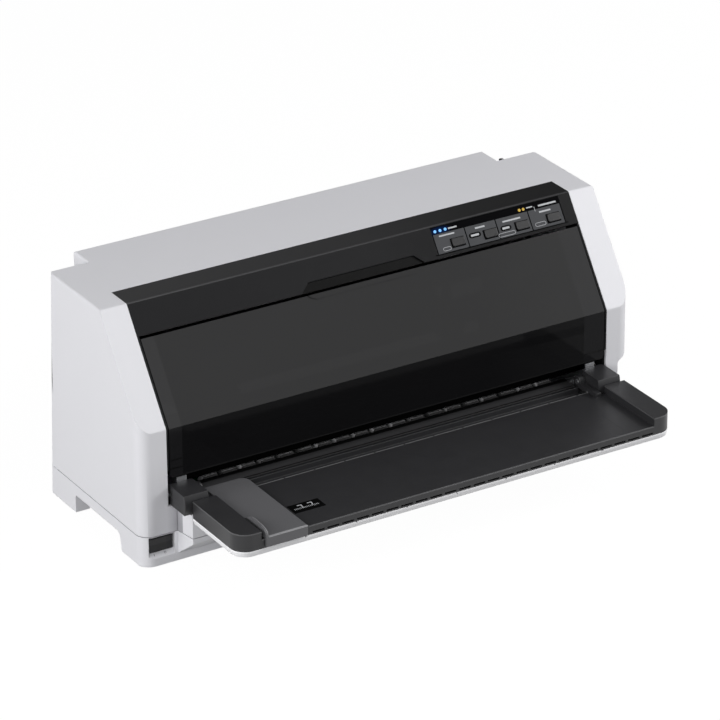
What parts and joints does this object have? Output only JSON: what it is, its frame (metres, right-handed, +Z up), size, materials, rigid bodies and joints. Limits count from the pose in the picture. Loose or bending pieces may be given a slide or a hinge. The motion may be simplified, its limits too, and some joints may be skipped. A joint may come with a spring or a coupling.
{
  "type": "dot matrix printer",
  "caption": "Flatbed dot matrix printer: pale case, smoked hinged front cover, control panel, fold-up paper table with sliding edge guide, print carriage and rear tractors.",
  "frame": {"origin": "centre of the whole outline in plan, on the surface the feet stand on", "axes": "+X to the printer's right when facing its front, +Y to its rear, +Z up"},
  "size_m": [0.48, 0.348, 0.21],
  "materials": {
    "case_white": "fine satin texture, cool white",
    "panel_black": "satin black",
    "trim_black": "satin black",
    "table_black": "fine matt texture, off-black",
    "guide_grey": "fine matt texture, dark grey",
    "key_grey": "satin dark grey",
    "button_black": "satin black",
    "smoked_cover": "clear smoked plastic, nearly black",
    "lamp": "clear light pipe",
    "rubber": "matt rubber",
    "rubber_grey": "ground rubber",
    "belt_rubber": "toothed belt rubber",
    "steel": "zinc-plated or ground steel",
    "brass": "machined brass",
    "nylon": "natural nylon",
    "motor_grey": "dark lacquer",
    "head_metal": "cast, finned",
    "board_green": "green solder mask"
  },
  "bodies": {
    "case": {"lower_case": "case_white", "upper_case": "case_white", "top_trim": "panel_black", "panel_plate": "key_grey", "panel_lights": "lamp", "panel_board": "board_green", "cover_pins": "steel", "front_paper_guide": "trim_black", "hinge_blocks": "table_black", "table_pins": "steel", "rubber_feet": "rubber", "base_plate": "steel", "left_side_frame": "steel", "right_side_frame": "steel", "upper_paper_guide": "trim_black", "feed_motor": "motor_grey", "platen_bar": "steel", "carriage_shaft": "steel", "front_rail": "steel", "carriage_motor": "motor_grey", "timing_belt": "belt_rubber", "ribbon_cartridge": "trim_black", "main_board": "board_green", "power_board": "board_green", "power_inlet": "button_black", "interface_ports": "steel", "case_screws": "steel", "tractor_guide_bar": "steel"},
    "cover": {"front_cover": "smoked_cover"},
    "table": {"table_top": "table_black", "table_shell": "case_white"},
    "edge_guide": {"edge_guide": "guide_grey"},
    "button_1": {"button_1": "button_black"},
    "button_2": {"button_2": "button_black"},
    "button_3": {"button_3": "button_black"},
    "button_4": {"button_4": "button_black"},
    "power_rocker": {"power_rocker": "button_black"},
    "feed_knob": {"feed_knob": "table_black", "knob_gear": "nylon"},
    "front_roller": {"front_feed_shaft": "steel", "front_feed_sleeves": "rubber_grey", "front_feed_gear": "nylon"},
    "rear_roller": {"rear_feed_roller": "rubber_grey", "rear_feed_gear": "nylon"},
    "feed_pinion": {"feed_pinion": "brass"},
    "tractor_idler": {"tractor_idler_gear": "nylon"},
    "tractor_shaft": {"tractor_drive_shaft": "steel"},
    "left_tractor": {"left_tractor": "table_black"},
    "left_flap": {"left_tractor_flap": "guide_grey"},
    "left_sprocket": {"left_tractor_sprocket": "nylon"},
    "right_tractor": {"right_tractor": "table_black"},
    "right_flap": {"right_tractor_flap": "guide_grey"},
    "right_sprocket": {"right_tractor_sprocket": "nylon"},
    "carriage": {"carriage": "trim_black", "print_head": "head_metal"},
    "drive_pulley": {"drive_pulley": "brass"},
    "idler_pulley": {"idler_pulley": "nylon"},
    "ribbon_knob": {"ribbon_knob": "guide_grey"},
    "rear_guide": {"rear_paper_guide": "table_black"},
    "release_lever": {"release_lever": "button_black"}
  },
  "joints": [
    {"name": "cover_hinge", "type": "hinge", "parent": "case", "child": "cover", "pos_m": [0, -0.06456, 0.084], "axis": [1, 0, 0], "range_deg": [0, 75]},
    {"name": "table_fold", "type": "hinge", "parent": "case", "child": "table", "pos_m": [0, -0.07156, 0.06175], "axis": [1, 0, 0], "range_deg": [-78, 0]},
    {"name": "edge_guide_slide", "type": "slide", "parent": "table", "child": "edge_guide", "axis": [1, 0, 0], "range_m": [0, 0.22]},
    {"name": "button_1_press", "type": "slide", "parent": "case", "child": "button_1", "axis": [0, 0.8197, -0.5728], "range_m": [0, 0.001], "stiffness_N_per_m": 400},
    {"name": "button_2_press", "type": "slide", "parent": "case", "child": "button_2", "axis": [0, 0.8197, -0.5728], "range_m": [0, 0.001], "stiffness_N_per_m": 400},
    {"name": "button_3_press", "type": "slide", "parent": "case", "child": "button_3", "axis": [0, 0.8197, -0.5728], "range_m": [0, 0.001], "stiffness_N_per_m": 400},
    {"name": "button_4_press", "type": "slide", "parent": "case", "child": "button_4", "axis": [0, 0.8197, -0.5728], "range_m": [0, 0.001], "stiffness_N_per_m": 400},
    {"name": "power_rocker_tilt", "type": "hinge", "parent": "case", "child": "power_rocker", "pos_m": [-0.2226, -0.06356, 0.0195], "axis": [1, 0, 0], "range_deg": [-12, 0]},
    {"name": "knob_spin", "type": "hinge", "parent": "case", "child": "feed_knob", "pos_m": [0.22, -0.00556, 0.0502], "axis": [1, 0, 0], "continuous": true},
    {"name": "front_roller_spin", "type": "hinge", "parent": "case", "child": "front_roller", "pos_m": [0, -0.04956, 0.0502], "axis": [1, 0, 0], "continuous": true},
    {"name": "rear_roller_spin", "type": "hinge", "parent": "case", "child": "rear_roller", "pos_m": [0, 0.03844, 0.0502], "axis": [1, 0, 0], "continuous": true},
    {"name": "feed_pinion_spin", "type": "hinge", "parent": "case", "child": "feed_pinion", "pos_m": [0.209, 0.02259, 0.07265], "axis": [1, 0, 0], "continuous": true},
    {"name": "tractor_idler_spin", "type": "hinge", "parent": "case", "child": "tractor_idler", "pos_m": [0.209, 0.07244, 0.0502], "axis": [1, 0, 0], "continuous": true},
    {"name": "tractor_shaft_spin", "type": "hinge", "parent": "case", "child": "tractor_shaft", "pos_m": [0, 0.10644, 0.0502], "axis": [1, 0, 0], "continuous": true},
    {"name": "left_tractor_slide", "type": "slide", "parent": "case", "child": "left_tractor", "axis": [1, 0, 0], "range_m": [0, 0.15]},
    {"name": "left_flap_hinge", "type": "hinge", "parent": "left_tractor", "child": "left_flap", "pos_m": [-0.177, 0.11344, 0.0592], "axis": [0, -1, 0], "range_deg": [0, 110]},
    {"name": "left_sprocket_spin", "type": "hinge", "parent": "left_tractor", "child": "left_sprocket", "pos_m": [-0.165, 0.10644, 0.0502], "axis": [1, 0, 0], "continuous": true},
    {"name": "right_tractor_slide", "type": "slide", "parent": "case", "child": "right_tractor", "axis": [1, 0, 0], "range_m": [-0.15, 0]},
    {"name": "right_flap_hinge", "type": "hinge", "parent": "right_tractor", "child": "right_flap", "pos_m": [0.177, 0.11344, 0.0592], "axis": [0, 1, 0], "range_deg": [0, 110]},
    {"name": "right_sprocket_spin", "type": "hinge", "parent": "right_tractor", "child": "right_sprocket", "pos_m": [0.165, 0.10644, 0.0502], "axis": [1, 0, 0], "continuous": true},
    {"name": "carriage_slide", "type": "slide", "parent": "case", "child": "carriage", "axis": [1, 0, 0], "range_m": [0, 0.26]},
    {"name": "drive_pulley_spin", "type": "hinge", "parent": "case", "child": "drive_pulley", "pos_m": [-0.184, 0.04644, 0.099], "axis": [0, 0, 1], "continuous": true},
    {"name": "idler_pulley_spin", "type": "hinge", "parent": "case", "child": "idler_pulley", "pos_m": [0.184, 0.04644, 0.099], "axis": [0, 0, 1], "continuous": true},
    {"name": "ribbon_knob_spin", "type": "hinge", "parent": "case", "child": "ribbon_knob", "pos_m": [-0.14, -0.02756, 0.104], "axis": [0, 0, 1], "continuous": true},
    {"name": "rear_guide_tilt", "type": "hinge", "parent": "case", "child": "rear_guide", "pos_m": [0, 0.08944, 0.066], "axis": [1, 0, 0], "range_deg": [0, 25]},
    {"name": "release_lever_tilt", "type": "hinge", "parent": "case", "child": "release_lever", "pos_m": [0.211, 0.05844, 0.112], "axis": [1, 0, 0], "range_deg": [-8, 0]}
  ],
  "couplings": [
    {"joint": "front_roller_spin", "follows": "knob_spin", "ratio": -1.75},
    {"joint": "rear_roller_spin", "follows": "knob_spin", "ratio": -1.75},
    {"joint": "feed_pinion_spin", "follows": "knob_spin", "ratio": -3.5},
    {"joint": "tractor_idler_spin", "follows": "knob_spin", "ratio": 1.5556},
    {"joint": "tractor_shaft_spin", "follows": "knob_spin", "ratio": -1.75},
    {"joint": "left_sprocket_spin", "follows": "knob_spin", "ratio": -1.75},
    {"joint": "right_sprocket_spin", "follows": "knob_spin", "ratio": -1.75},
    {"joint": "drive_pulley_spin", "follows": "carriage_slide", "rad_per_m": 142.86},
    {"joint": "idler_pulley_spin", "follows": "carriage_slide", "rad_per_m": 142.86}
  ]
}
